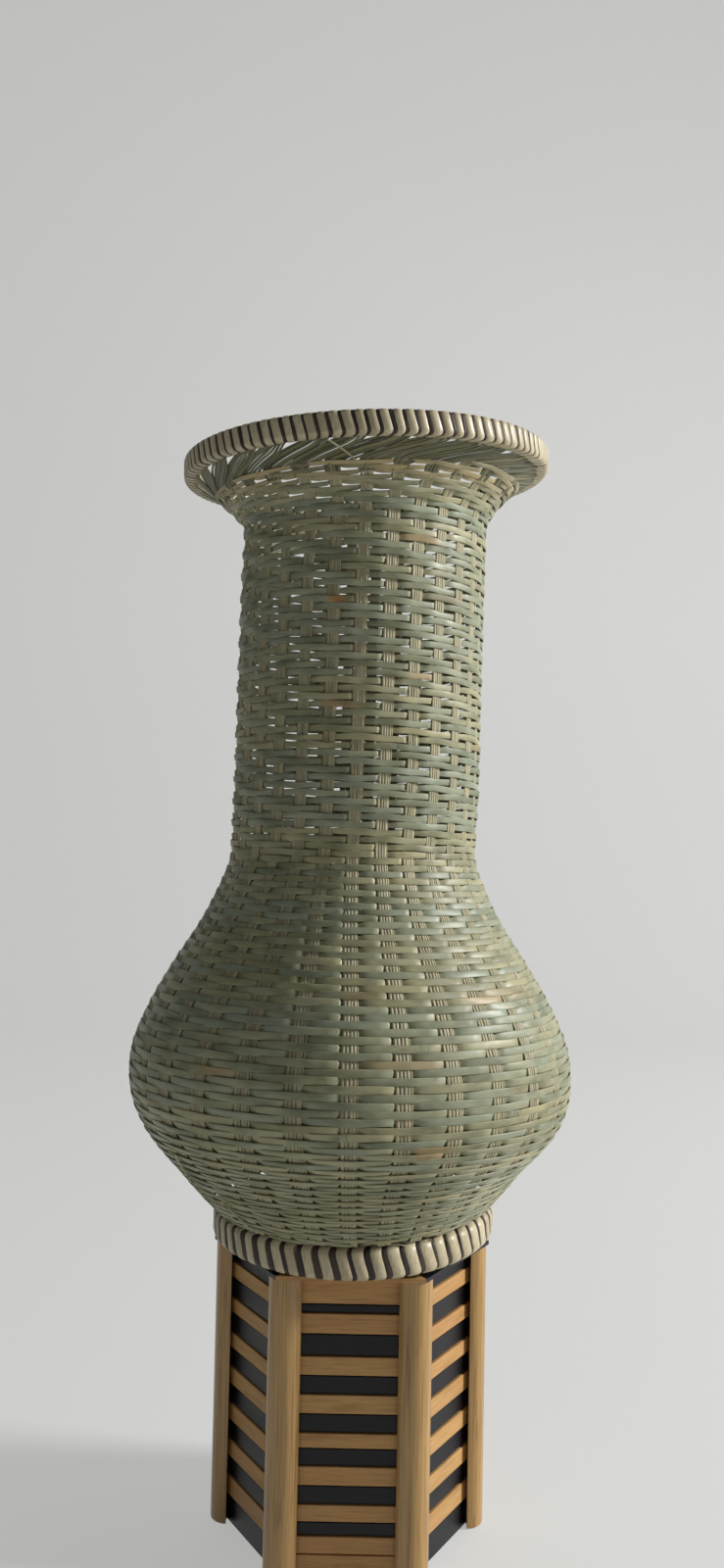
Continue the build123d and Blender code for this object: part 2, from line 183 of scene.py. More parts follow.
# Where the photograph was taken from, in real sizes
EYE_DISTANCE = 0.559
EYE_HEIGHT = 0.2863
EYE_SIDE = 0.4 * MM
EYE_PITCH = math.radians(2.86)
EYE_ROLL = math.radians(1.15)
FOCAL_PIXELS = 1300.0
FRAME_LONG_SIDE = 1600.0
SENSOR = 36.0

# Lamps: name, place and disk in metres, power in watts. The key light comes from the right.
LAMPS = [("key", (2.2, -0.14, 1.15), 0.5, 64.0), ("fill", (-1.0, -2.1, 1.0), 1.6, 2.2),
         ("top", (0.8, 0.9, 2.2), 1.4, 4.0)]
LAMP_TARGET = Vector((0.0, 0.0, 0.25))
WORLD_LIGHT = ("#EEF3F6", 0.11)  # colour and strength


def length_setting(name, description, default):
    return bpy.props.FloatProperty(name=name, description=description, default=default,
                                   unit="LENGTH", precision=5)


def count_setting(name, description, default):
    return bpy.props.IntProperty(name=name, description=description, default=default)


def colour_setting(name, description, default):
    return bpy.props.StringProperty(name=name, description=description, default=default)


class VaseSizes(bpy.types.PropertyGroup):
    """Sizes of the strips and the turns."""

    weft_width: bpy.props.FloatProperty(
        name="Weft width", description="Width of the weft strips against the real ones",
        default=1.0, subtype="FACTOR")
    weft_thickness: length_setting("Weft thickness", "Thickness of a weft strip", 0.62 * MM)
    stake_width: length_setting(
        "Upright width", "Width of an upright in the neck, a bundle of splints", 4.9 * MM)
    stake_thickness: length_setting(
        "Upright thickness", "Thickness of an upright's splints", 0.6 * MM)
    weft_dip: length_setting(
        "Weft dip", "Length in which the weft dips behind an upright", 2.3 * MM)
    weave_depth: length_setting(
        "Weave depth", "How far the weft swings out and in past the uprights", 0.66 * MM)
    rim_turns: count_setting("Rim turns", "Turns of each binding strip round the rim", 102)
    foot_turns: count_setting("Foot turns", "Turns of each binding strip round the foot", 54)


class VaseColours(bpy.types.PropertyGroup):
    """Colours as they look, in sRGB hex."""

    weft: colour_setting("Weft", "Sun-dried green bamboo", "#949A82")
    weft_warm: colour_setting("Weft, faded", "Where the green has faded to straw", "#ABA47C")
    weft_dark: colour_setting("Weft, streaks", "Darker streaks along the strips", "#696C4F")
    stake: colour_setting("Upright", "Split inner bamboo", "#A9A284")
    pale_strip: colour_setting("Pale binding", "Scraped pale strip", "#CFC3A2")
    dark_strip: colour_setting("Dark binding", "Smoked strip", "#2A1F1B")
    post: colour_setting("Post", "Oiled cane", "#B58E52")
    natural_slat: colour_setting("Natural slat", "Planed bamboo", "#BF9058")
    black_slat: colour_setting("Black slat", "Black stain", "#0D0D11")


def sizes():
    return bpy.context.scene.vase_sizes


def colours():
    return bpy.context.scene.vase_colours


# Shape of the wall

def smooth_line(points, steps):
    """Points on a smooth line through the given points, evenly spread between each pair."""
    p = np.array(points)
    tangent = np.gradient(p, axis=0)
    tangent[0], tangent[-1] = p[1] - p[0], p[-1] - p[-2]
    line = []
    for i in range(len(p) - 1):
        t = np.linspace(0.0, 1.0, steps, endpoint=False)[:, None]
        line.append((2 * t**3 - 3 * t**2 + 1) * p[i] + (t**3 - 2 * t**2 + t) * tangent[i]
                    + (-2 * t**3 + 3 * t**2) * p[i + 1] + (t**3 - t**2) * tangent[i + 1])
    line.append(p[-1:])
    return np.concatenate(line)


def eased(share):
    """A share held between 0 and 1 that starts and ends softly."""
    share = np.clip(share, 0.0, 1.0)
    return share * share * (3.0 - 2.0 * share)


def part_way(corner, change, shares):
    """Points of the wall: a corner, plus shares of a change in radius and in level."""
    return [(corner[0] + change[0] * across, corner[1] + change[1] * up) for up, across in shares]


class Wall:
    """The middle of the basket's wall, walked by the distance from its lower edge."""

    neck_points = 7
    steps_between = 24

    def __init__(self):
        self.border_start = (BORDER_RADIUS, MOUTH_HEIGHT + BORDER_RISE)
        points = [(BELLY_BOTTOM_RADIUS, BASKET_BOTTOM)]
        points += part_way(points[0], (BELLY_RADIUS - BELLY_BOTTOM_RADIUS,
                                       BELLY_HEIGHT - BASKET_BOTTOM), LOWER_BELLY_SHARES)
        points.append((BELLY_RADIUS, BELLY_HEIGHT))
        points += part_way((NECK_RADIUS, BELLY_HEIGHT),
                           (BELLY_RADIUS - NECK_RADIUS, SHOULDER_HEIGHT - BELLY_HEIGHT),
                           UPPER_BELLY_SHARES)
        points += [(NECK_RADIUS, height) for height in
                   np.linspace(SHOULDER_HEIGHT, MOUTH_HEIGHT, self.neck_points)]
        points += part_way((NECK_RADIUS, MOUTH_HEIGHT), (BORDER_RADIUS - NECK_RADIUS, BORDER_RISE),
                           MOUTH_SHARES)
        points += [self.border_start,
                   (CLAMPED_RADIUS - BORDER_DROP, RIM_MIDDLE - RIM_BAND_HEIGHT / 2.0 - BORDER_DROP),
                   (CLAMPED_RADIUS, RIM_MIDDLE - RIM_BAND_HEIGHT / 4.0)]
        line = smooth_line(points, self.steps_between)
        run = np.gradient(line, axis=0)
        length = np.hypot(run[:, 0], run[:, 1])
        self.normal = np.stack([run[:, 1] / length, -run[:, 0] / length], axis=1)
        self.line = line - self.normal * WALL_DEPTH
        steps = np.hypot(*np.diff(self.line, axis=0).T)
        self.walk = np.concatenate([[0.0], np.cumsum(steps)])
        self.end = self.walk[-1]

    def walk_at_height(self, height):
        return np.interp(height, self.line[:, 1], self.walk)

    def radius(self, walk):
        return np.interp(walk, self.walk, self.line[:, 0])

    def height(self, walk):
        return np.interp(walk, self.walk, self.line[:, 1])

    def place(self, angle, walk, proud):
        """Positions and outward directions, angle 0 at +X and rising towards +Y."""
        normal_out = np.interp(walk, self.walk, self.normal[:, 0])
        normal_up = np.interp(walk, self.walk, self.normal[:, 1])
        radius = self.radius(walk) + proud * normal_out
        height = self.height(walk) + proud * normal_up
        cos, sin = np.cos(angle), np.sin(angle)
        points = np.stack([radius * cos, radius * sin, height], axis=1)
        outward = np.stack([normal_out * cos, normal_out * sin, normal_up], axis=1)
        return lean(points, outward)


def foot_rise(points):
    """How far the foot lifts off the board: it touches at the front and is highest on the right."""
    front = np.clip(-points[:, 1] / FOOT_RADIUS, 0.0, 1.0)
    right = (points[:, 0] + FOOT_RADIUS * LIFT_START) / (FOOT_RADIUS * (1.0 + LIFT_START))
    return LIFT_BACK * (1.0 - front**2) + LIFT_RIGHT * np.clip(right, 0.0, 1.0)**2


def lean(points, outward):
    """The mouth's lean, the sideways drift and the foot's rise, on points and directions."""
    height = points[:, 2]
    share = eased((height - MOUTH_HEIGHT + LEAN_REACH) / (2.0 * LEAN_REACH))[:, None]
    full = np.array(Euler((LEAN_FRONT, LEAN_SIDE, 0.0)).to_matrix())
    pivot = np.array([0.0, 0.0, MOUTH_HEIGHT])
    turned = (points - pivot) @ full.T + pivot
    points = points + (turned - points) * share
    outward = outward + (outward @ full.T - outward) * share
    points[:, 0] += np.interp(height, *zip(*DRIFT))
    points[:, 2] += foot_rise(points) * np.interp(height, (BASKET_BOTTOM, LIFT_END), (1.0, 0.0))
    return points, outward


# Meshes from Geometry Nodes

def feed(node, inputs):
    """Gives inputs of a node, by number or name, their values, or links the sockets to them."""
    for key, value in inputs.items():
        if isinstance(value, bpy.types.NodeSocket):
            node.id_data.links.new(value, node.inputs[key])
        else:
            node.inputs[key].default_value = value


def add_node(tree, kind, inputs=(), out=0, **settings):
    """Adds a node with its settings and its inputs, a list or a dict, and gives one output."""
    node = tree.nodes.new(kind)
    for key, value in settings.items():
        setattr(node, key, value)
    feed(node, inputs if isinstance(inputs, dict) else dict(enumerate(inputs)))
    return node.outputs[out] if node.outputs else None


def new_tree(name, inputs):
    """An empty node group with one output and named inputs, each with its kind and default."""
    tree = bpy.data.node_groups.new(name, "GeometryNodeTree")
    for label, kind, *default in inputs:
        socket = tree.interface.new_socket(name=label, in_out="INPUT",
                                           socket_type="NodeSocket" + kind)
        if default:
            socket.default_value = default[0]
    tree.interface.new_socket(name="Strips", in_out="OUTPUT", socket_type="NodeSocketGeometry")
    return tree, partial(add_node, tree), tree.nodes.new("NodeGroupInput").outputs


def strip_profile(add, width, thickness, points, lying=False):
    """A flat strip's section, a squared-off oval.

    Each point stores the root of its second coordinate in metres, up to 0.04 on a strip of 3 mm.
    That runs across the strip, or through it where it is lying.
    """
    circle = add("GeometryNodeCurvePrimitiveCircle", {"Resolution": points, "Radius": 1.0})
    position = add("GeometryNodeInputPosition")
    sides = []
    # Powers under 1 square the circle off, first through the strip, then across it
    for axis, flatness in ((0, 0.42), (1, 0.5)):
        side = add("ShaderNodeSeparateXYZ", [position], axis)
        size = add(MATH, [side], operation="ABSOLUTE")
        size = add(MATH, [size, flatness], operation="POWER")
        sign = add(MATH, [side], operation="SIGN")
        sides.append(add(MATH, [sign, size], operation="MULTIPLY"))
    halves = [add(MATH, [size, 0.5], operation="MULTIPLY") for size in (thickness, width)]
    section = [add(MATH, pair, operation="MULTIPLY") for pair in zip(sides, halves)]
    place = add("ShaderNodeCombineXYZ", section[::-1] if lying else section)
    moved = add("GeometryNodeSetPosition", {"Geometry": circle, "Position": place})
    return add("GeometryNodeStoreNamedAttribute",
               {"Geometry": moved, "Name": "across", "Value": sides[1]})


def finish_tree(add, strips, finish):
    """Ends a node group: real points in place of copies, and their material."""
    real = add("GeometryNodeRealizeInstances", [strips])
    add("NodeGroupOutput", [add("GeometryNodeSetMaterial", {"Geometry": real, "Material": finish})])


def strip_tree():
    """Sweeps a flat strip along each chain of edges. The chain carries its outward direction."""
    tree, add, given = new_tree("Strips along their paths", [
        ("Paths", "Geometry"), ("Strip width", "Float", 2.5 * MM),
        ("Strip thickness", "Float", 0.5 * MM), ("Section points", "Int", 8),
        ("Width variation", "Float", 0.1), ("Variation length", "Float", 40.0 * MM),
        ("Seed", "Float", 1.0), ("Material", "Material")])
    outward, along, girth = (
        add("GeometryNodeInputNamedAttribute", {"Name": name}, "Attribute", data_type=kind)
        for name, kind in (("outward", "FLOAT_VECTOR"), ("along", "FLOAT"), ("girth", "FLOAT")))
    curve = add("GeometryNodeMeshToCurve", {"Mesh": given["Paths"]})
    aimed = add("GeometryNodeSetCurveNormal", {"Curve": curve, "Normal": outward}, mode="FREE")
    walk = add(MATH, [along, given["Variation length"]], operation="DIVIDE")
    spot = add("ShaderNodeCombineXYZ", [walk, given["Seed"]])
    noise = add("ShaderNodeTexNoise", {"Vector": spot, "Scale": 1.0}, noise_dimensions="2D")
    # The noise is mostly within 0.25 of its middle, so its swing counts four times
    swing = add(MATH, [noise, 0.5], operation="SUBTRACT")
    most = add(MATH, [given["Width variation"], 4.0], operation="MULTIPLY")
    swing = add(MATH, [swing, most], operation="MULTIPLY")
    scale = add(MATH, [girth, add(MATH, [swing, 1.0], operation="ADD")], operation="MULTIPLY")
    sized = add("GeometryNodeSetCurveRadius", {"Curve": aimed, "Radius": scale})
    profile = strip_profile(add, given["Strip width"], given["Strip thickness"],
                            given["Section points"])
    swept = add("GeometryNodeCurveToMesh",
                {"Curve": sized, "Profile Curve": profile, "Fill Caps": True,
                 "Scale": add("GeometryNodeInputRadius")})
    finish_tree(add, add("GeometryNodeSetShadeSmooth", [swept]), given["Material"])
    return tree


def turns_tree():
    """Turns of a flat strip wound round a ring, one turn repeated with small differences."""
    tree, add, given = new_tree("Turns round a ring", [
        ("Start", "Geometry"), ("Turns", "Int", 60), ("Band middle", "Vector"),
        ("Band width", "Float", 7.0 * MM), ("Band height", "Float", 10.0 * MM),
        ("Band corner", "Float", 1.5 * MM), ("Strip width", "Float", 3.0 * MM),
        ("Strip thickness", "Float", 0.7 * MM), ("Slant", "Float", BINDING_SLANT),
        ("First angle", "Float", 0.0), ("Angle jitter", "Float", 0.004),
        ("Narrowest", "Float", 0.85), ("Widest", "Float", 1.1), ("Thin angle", "Float", 0.0),
        ("Thin share", "Float", 0.0), ("Seed", "Int", 1), ("Material", "Material")])
    # One turn, a rounded rectangle that slants opposite ways on its two sides
    loop = add("GeometryNodeCurvePrimitiveQuadrilateral",
               {"Width": given["Band width"], "Height": given["Band height"]})
    rounded = add("GeometryNodeFilletCurve",
                  {"Curve": loop, "Count": 3, "Radius": given["Band corner"]}, mode="POLY")
    flat = add("GeometryNodeInputPosition")
    across, up = (add("ShaderNodeSeparateXYZ", [flat], axis) for axis in (0, 1))
    half = add(MATH, [given["Band width"], 0.5], operation="MULTIPLY")
    side = add(MATH, [across, half], operation="DIVIDE")
    step = add(MATH, [up, given["Slant"]], operation="MULTIPLY")
    step = add(MATH, [step, side], operation="MULTIPLY")
    stood = add("GeometryNodeSetPosition",
                {"Geometry": rounded, "Position": add("ShaderNodeCombineXYZ", [across, step, up]),
                 "Offset": given["Band middle"]})
    aimed = add("GeometryNodeSetCurveNormal", {"Curve": stood, "Normal": (0.0, 1.0, 0.0)},
                mode="FREE")
    profile = strip_profile(add, given["Strip width"], given["Strip thickness"], 8, lying=True)
    swept = add("GeometryNodeCurveToMesh", {"Curve": aimed, "Profile Curve": profile})
    smooth = add("GeometryNodeSetShadeSmooth", [swept])

    # Its copies, evenly spread, each with a random place, width and tone
    spots = add("GeometryNodeMeshLine", {"Count": given["Turns"], "Offset": (0.0, 0.0, 0.0)})
    number = add(MATH, [add("GeometryNodeInputIndex"), TURN], operation="MULTIPLY")
    even = add(MATH, [number, given["Turns"]], operation="DIVIDE")
    angle = add(MATH, [even, given["First angle"]], operation="ADD")
    back = add(MATH, [given["Angle jitter"], -1.0], operation="MULTIPLY")
    seeds = [given["Seed"]] + [add(MATH, [given["Seed"], more], operation="ADD")
                               for more in (7.0, 13.0)]
    ranges = [(back, given["Angle jitter"]), (given["Narrowest"], given["Widest"]), (0.0, 1.0)]
    jitter, wide, tone = (
        add("FunctionNodeRandomValue", {2: low, 3: high, "Seed": seed}, 1)
        for (low, high), seed in zip(ranges, seeds))
    angle = add(MATH, [angle, jitter], operation="ADD")
    # The strip narrows towards the thin angle, or widens where the thin share is negative
    facing = add(MATH, [angle, given["Thin angle"]], operation="SUBTRACT")
    facing = add(MATH, [add(MATH, [facing], operation="COSINE"), 0.0], operation="MAXIMUM")
    facing = add(MATH, [facing, 2.0], operation="POWER")
    thinned = add(MATH, [given["Thin share"], facing], operation="MULTIPLY")
    left = add(MATH, [1.0, thinned], operation="SUBTRACT")
    wide = add(MATH, [wide, left], operation="MULTIPLY")
    copies = add("GeometryNodeInstanceOnPoints",
                 {"Points": spots, "Instance": smooth,
                  "Rotation": add("ShaderNodeCombineXYZ", [0.0, 0.0, angle]),
                  "Scale": add("ShaderNodeCombineXYZ", [1.0, wide, 1.0])})
    toned = add("GeometryNodeStoreNamedAttribute",
                {"Geometry": copies, "Name": "tone", "Value": tone}, domain="INSTANCE")
    finish_tree(add, toned, given["Material"])
    return tree


def grown(name, start_mesh, tree, values, body, replaced):
    """The evaluated result of a node group as a plain mesh piece that rides on a body."""
    base = bpy.data.objects.new(name + "_base", start_mesh)
    bpy.context.scene.collection.objects.link(base)
    modifier = base.modifiers.new("Grow", "NODES")
    modifier.node_group = tree
    for item in tree.interface.items_tree:
        if item.in_out == "INPUT" and item.name in values:
            modifier[item.identifier] = values[item.name]
    bpy.context.view_layer.update()
    ready = base.evaluated_get(bpy.context.evaluated_depsgraph_get())
    mesh = bpy.data.meshes.new_from_object(ready)
    mesh.name = name
    bpy.data.objects.remove(base)
    piece = bpy.data.objects.new(name, mesh)
    bpy.context.scene.collection.objects.link(piece)
    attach(piece, body)
    if replaced:
        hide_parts(*replaced)
    print(name, "triangles", sum(len(p.vertices) - 2 for p in mesh.polygons))
    return piece


def path_mesh(name, chains):
    """A mesh of loose edge chains. Each chain is a dict of arrays with one row for each point."""
    points = np.concatenate([c["points"] for c in chains])
    edges, start = [], 0
    for chain in chains:
        count = len(chain["points"])
        first = np.arange(start, start + count - 1)
        edges.append(np.stack([first, first + 1], axis=1))
        start += count
    edges = np.concatenate(edges)
    mesh = bpy.data.meshes.new(name)
    mesh.vertices.add(len(points))
    mesh.vertices.foreach_set("co", points.astype(np.float32).ravel())
    mesh.edges.add(len(edges))
    mesh.edges.foreach_set("vertices", edges.astype(np.int32).ravel())
    outward = np.concatenate([c["outward"] for c in chains]).astype(np.float32)
    stored = mesh.attributes.new("outward", "FLOAT_VECTOR", "POINT")
    stored.data.foreach_set("vector", outward.ravel())
    for key, usual in (("along", 0.0), ("tone", 0.0), ("girth", 1.0), ("odd", 0.0)):
        values = [np.broadcast_to(c.get(key, usual), len(c["points"])) for c in chains]
        stored = mesh.attributes.new(key, "FLOAT", "POINT")
        stored.data.foreach_set("value", np.concatenate(values).astype(np.float32))
    mesh.update()
    return mesh


def sweep(name, chains, values, replaced):
    """Strips along chains of points, as one piece of the vase."""
    return grown(name, path_mesh(name + "_paths", chains), strip_tree(), values, "vase",
                 replaced)


def strip_values(finish, width, thickness, seed, points=6, variation=0.12, length=18.0 * MM):
    """Values that the strip tree takes, by the names of its inputs."""
    return {"Strip width": width, "Strip thickness": thickness, "Section points": points,
            "Width variation": variation, "Variation length": length, "Seed": seed,
            "Material": material(finish)}


# Paths of the strips

def soft_noise(values, amount, length, seed):
    """A value that wanders smoothly by about an amount to either side, a sum of three waves."""
    rng = np.random.default_rng(seed)
    total = np.zeros_like(values)
    for octave in range(1, 4):
        total += np.sin(values * TURN / length * octave * rng.uniform(0.8, 1.25)
                        + rng.uniform(0, TURN)) / octave
    return amount * (total / 1.6)


def pitch_at(wall, walk):
    """Rise of the weft in one turn at a distance along the wall."""
    return np.interp(wall.height(walk), *zip(*PITCHES))


def crossings(wall, start, end):
    """Distance along the wall where the one long weft spiral crosses each upright."""
    walks = [start]
    while walks[-1] < end:
        walks.append(walks[-1] + pitch_at(wall, walks[-1]) / STAKES)
    return np.array(walks)


def over_under(count, twill_from):
    """Which side of each upright the weft passes: 1 outside, -1 inside."""
    step = np.arange(count)
    plain = np.where(step % 2 == 0, 1.0, -1.0)
    twill = np.where(step % 3 == 2, -1.0, 1.0)
    return np.where(step < twill_from, plain, twill)


def closing(count, twill_from, phase):
    """Which way a row of the twill is pushed along the wall: 1 up, -1 down.

    The two rows over an upright slide together, and leave room where the third is behind it.
    """
    step = np.arange(count)
    pushed = np.array([-1.0, 1.0, 0.0])[step % 3]
    return np.interp(phase, step, np.where(step < twill_from, 0.0, pushed))


def stake_spread(wall, walk):
    """Width of an upright against its width in the neck: the splints spread on the belly."""
    swell = (wall.radius(walk) - NECK_RADIUS) / (BELLY_RADIUS - NECK_RADIUS)
    return 1.0 + BELLY_SPREAD * swell


def weft_samples(wall, walks, side):
    """Places along the weft, in uprights passed, and the side it lies on at each.

    The strip is stiff: it lies flat outside and dips behind an upright only right beside it.
    """
    s = sizes()
    spacing = TURN * wall.radius(walks) / STAKES
    neck_share = np.clip(1.0 - (wall.radius(walks) - NECK_RADIUS) / NECK_FADE, 0.0, 1.0)
    neck_share = neck_share[:-1, None]
    hidden = HIDDEN_SHARE * s.stake_width * stake_spread(wall, walks) / spacing
    # The bend is sharp where the strip comes out from behind an upright, and slow before the next
    free = 1.0 - 2.0 * hidden
    sharp, slow = (np.minimum(dips * s.weft_dip / spacing, most * free)
                   for dips, most in (SHARP_BEND, SLOW_BEND))
    fractions = np.stack([np.zeros_like(hidden), hidden, hidden + 0.5 * sharp, hidden + sharp,
                          0.5 * (1.0 + sharp - slow), 1.0 - hidden - slow,
                          1.0 - hidden - 0.5 * slow, 1.0 - hidden], axis=1)[:-1]
    first, second = side[:-1, None], side[1:, None]
    near_first = np.array([1.0, 1.0, 0.5, 0.0, 0.0, 0.0, 0.0, 0.0])
    near_second = np.array([0.0, 0.0, 0.0, 0.0, 0.0, 0.0, 0.5, 1.0])
    lies = 1.0 - near_first * (1.0 - first) - near_second * (1.0 - second)
    # A float over two uprights bows out between them
    bow = (FLOAT_BOW[0] + FLOAT_BOW[1] * neck_share) * (first > 0) * (second > 0)
    lies = lies + bow * np.sin(math.pi * fractions)
    # It falls back towards the upright that it passes behind
    fall = FLOAT_FALL[0] + FLOAT_FALL[1] * neck_share
    gone = np.where(first > second, fractions, np.where(second > first, 1.0 - fractions, 0.0))
    lies = lies - fall * np.where(lies > 0.9, gone, 0.0)
    phase = np.arange(len(side) - 1)[:, None] + fractions
    return phase.ravel(), lies.ravel()


def packed_share(walk):
    """How tightly the weft is beaten down, from 1 at the foot to 0 on the open belly."""
    return np.clip(1.0 - walk / PACKED_LENGTH, 0.0, 1.0)


def weft_chain(wall):
    """The whole weft as arrays. It climbs to the left as seen from outside."""
    s = sizes()
    walks = crossings(wall, WEFT_START, wall.walk_at_height(wall.border_start[1]) + WEFT_OVERRUN)
    shoulder = int(np.searchsorted(walks, wall.walk_at_height(SHOULDER_HEIGHT)))
    phase, swing = weft_samples(wall, walks, over_under(len(walks), shoulder))
    walk = np.interp(phase, np.arange(len(walks)), walks)
    height = wall.height(walk)
    along = np.cumsum(np.diff(phase, prepend=0.0) * TURN * wall.radius(walk) / STAKES)
    packed = packed_share(walk)
    proud = swing * s.weave_depth + soft_noise(along, *WEFT_PROUD_NOISE)
    proud = proud * (1.0 - PACKED_FLATTENING * packed)
    wander = sum(soft_noise(along, *noise) for noise in WEFT_LEVEL_NOISES)
    waves = packed * (PACKED_WAVE * np.cos(TURN * phase / 4.0) - PACKED_DROP * swing)
    waves = waves + TWILL_CLOSING * closing(len(walks), shoulder, phase)
    angle = FRONT - TURN * phase / STAKES
    points, outward = wall.place(angle, walk + wander + waves, proud)
    outward[:, 2] -= np.interp(height, *zip(*WEFT_LEANS)) + soft_noise(along, *WEFT_LEAN_NOISE)
    share = np.interp(height, *zip(*WEFT_WIDTH_SHARES))
    uneven = 1.0 + soft_noise(along, *WEFT_WIDTH_NOISE)
    girth = share * pitch_at(wall, walk) / NECK_PITCH * uneven
    swell = FLOAT_SWELL[0] + FLOAT_SWELL[1] * packed
    girth = girth * (1.0 + swell * np.clip(swing, -1.0, 1.0))
    return {"points": points, "outward": outward, "along": along, "girth": girth,
            "tone": weft_tone(along), "odd": odd_lengths(angle, height), "walk": walk}


def weft_tone(along):
    """Each strip is spliced on where the last one ends, and every strip has its own tone."""
    rng = np.random.default_rng(11)
    count = 400  # more than the weft has
    ends = np.cumsum(rng.uniform(*STRIP_LENGTHS, count))
    tones = rng.uniform(0.0, 1.0, count + 1)
    return tones[np.searchsorted(ends, along)]


def odd_lengths(angle, height):
    """How strongly each sample of the weft is discoloured."""
    degrees = (np.degrees(angle) + 180.0) % 360.0 - 180.0
    odd = np.zeros_like(height)
    for first, last, level, strength in ODD_LENGTHS:
        inside = (degrees > first) & (degrees < last) & (np.abs(height - level) < ODD_REACH)
        ends = np.minimum(degrees - first, last - degrees) / ODD_FADE
        odd[inside] = strength * np.clip(ends[inside], 0.0, 1.0)
    start, full = GOLDEN_ROWS
    golden = np.clip((height - start) / (full - start), 0.0, 1.0)
    return np.maximum(odd, GOLDEN_STRENGTH * golden)


def cut_chain(chain, low, high):
    """The stretch of the weft between two distances up the wall, with one sample of overlap."""
    keep = np.flatnonzero((chain["walk"] >= low) & (chain["walk"] <= high))
    first, last = keep[0], min(keep[-1] + 2, len(chain["walk"]))
    return {key: value[first:last] for key, value in chain.items() if key != "walk"}


# Materials

def linear(hex_colour):
    """A linear colour from sRGB hex."""
    value = hex_colour.lstrip("#")
    srgb = [int(value[i:i + 2], 16) / 255.0 for i in (0, 2, 4)]
    return [c / 12.92 if c <= 0.04045 else ((c + 0.055) / 1.055) ** 2.4 for c in srgb] + [1.0]


def new_material(name, roughness, coat=0.0, sheen=0.0, specular=0.5):
    """A principled material. What is the same all over is set on the shader's own sockets."""
    made = bpy.data.materials.new(name)
    made.use_nodes = True
    shader = made.node_tree.nodes["Principled BSDF"]
    feed(shader, {"Roughness": roughness, "Specular IOR Level": specular, "Coat Weight": coat,
                  "Coat Roughness": 0.25, "Sheen Weight": sheen, "Sheen Roughness": 0.4})
    return made, partial(add_node, made.node_tree), shader


def strip_marks(add, length_scale, width_scale, detail, roughness=0.5):
    """Marks that run along a strip, and differ from strip to strip with its tone."""
    along, across, tone = (add("ShaderNodeAttribute", out="Fac", attribute_name=name)
                           for name in ("along", "across", "tone"))
    space = [add(MATH, [value, scale], operation="MULTIPLY") for value, scale in
             ((along, length_scale), (across, width_scale), (tone, 37.0))]
    return add("ShaderNodeTexNoise", {"Vector": add("ShaderNodeCombineXYZ", space), "Scale": 1.0,
                                      "Detail": detail, "Roughness": roughness})


def solid_marks(add, stretch, scale, detail, roughness=0.5):
    """Marks in a piece's own space, longest along the axis with the smallest stretch."""
    space = add("ShaderNodeMapping", {"Vector": add("ShaderNodeTexCoord", out="Object"),
                                      "Scale": stretch})
    return add("ShaderNodeTexNoise", {"Vector": space, "Scale": scale, "Detail": detail,
                                      "Roughness": roughness})


def tinted(add, base, colour, pattern, low, high, most=1.0):
    """A colour laid over a base where a pattern rises from one value to another."""
    amount = add("ShaderNodeMapRange", [pattern, low, high, 0.0, most])
    return add("ShaderNodeMix", {0: amount, 6: base, 7: linear(colour)}, 2, data_type="RGBA")


def split_bamboo(name, main, warm, dark, odd, roughness, sheen):
    """Split green bamboo, dried: a silky sheen, cloudy fading and darker streaks along it."""
    made, add, shader = new_material(name, roughness, coat=0.04, sheen=sheen)
    # Single fibres, about 0.3 mm apart, don't show. Streaks 3 to 25 mm long stand for them.
    streaks = strip_marks(add, 40.0, 3.4, 3.0, 0.6)
    clouds = add("ShaderNodeMapRange", [strip_marks(add, 28.0, 0.6, 2.0), 0.35, 0.7])
    tone, discoloured = (add("ShaderNodeAttribute", out="Fac", attribute_name=name)
                         for name in ("tone", "odd"))
    shares = [add(MATH, pair, operation="MULTIPLY") for pair in ((tone, 0.65), (clouds, 0.35))]
    faded = tinted(add, linear(main), warm, add(MATH, shares, operation="ADD"), 0.2, 0.85)
    spotted = tinted(add, faded, odd, discoloured, 0.0, 1.0)
    gloss = add("ShaderNodeMapRange", [streaks, 0.3, 0.7, roughness - 0.08, roughness + 0.15])
    relief = add("ShaderNodeBump", {"Height": streaks, "Strength": 0.35, "Distance": 0.25 * MM})
    feed(shader, {"Base Color": tinted(add, spotted, dark, streaks, 0.42, 0.66, 0.85),
                  "Roughness": gloss, "Normal": relief})
    return made


def binding_strip(name, colour, second, lines, roughness, coat):
    """A scraped binding strip: smooth, a little waxy, faintly mottled, each turn in its tone."""
    made, add, shader = new_material(name, roughness, coat=coat)
    # Scraping leaves marks about 1 mm wide and 3 mm long
    marks = solid_marks(add, (1.0, 1.0, 0.35), 900.0, 3.0, 0.6)
    tone = add("ShaderNodeAttribute", out="Fac", attribute_name="tone")
    base = tinted(add, linear(colour), second, tone, 0.0, 1.0, 0.8)
    relief = add("ShaderNodeBump", {"Height": marks, "Strength": 0.25, "Distance": 0.2 * MM})
    feed(shader, {"Base Color": tinted(add, base, lines, marks, 0.45, 0.75, 0.5),
                  "Normal": relief})
    return made


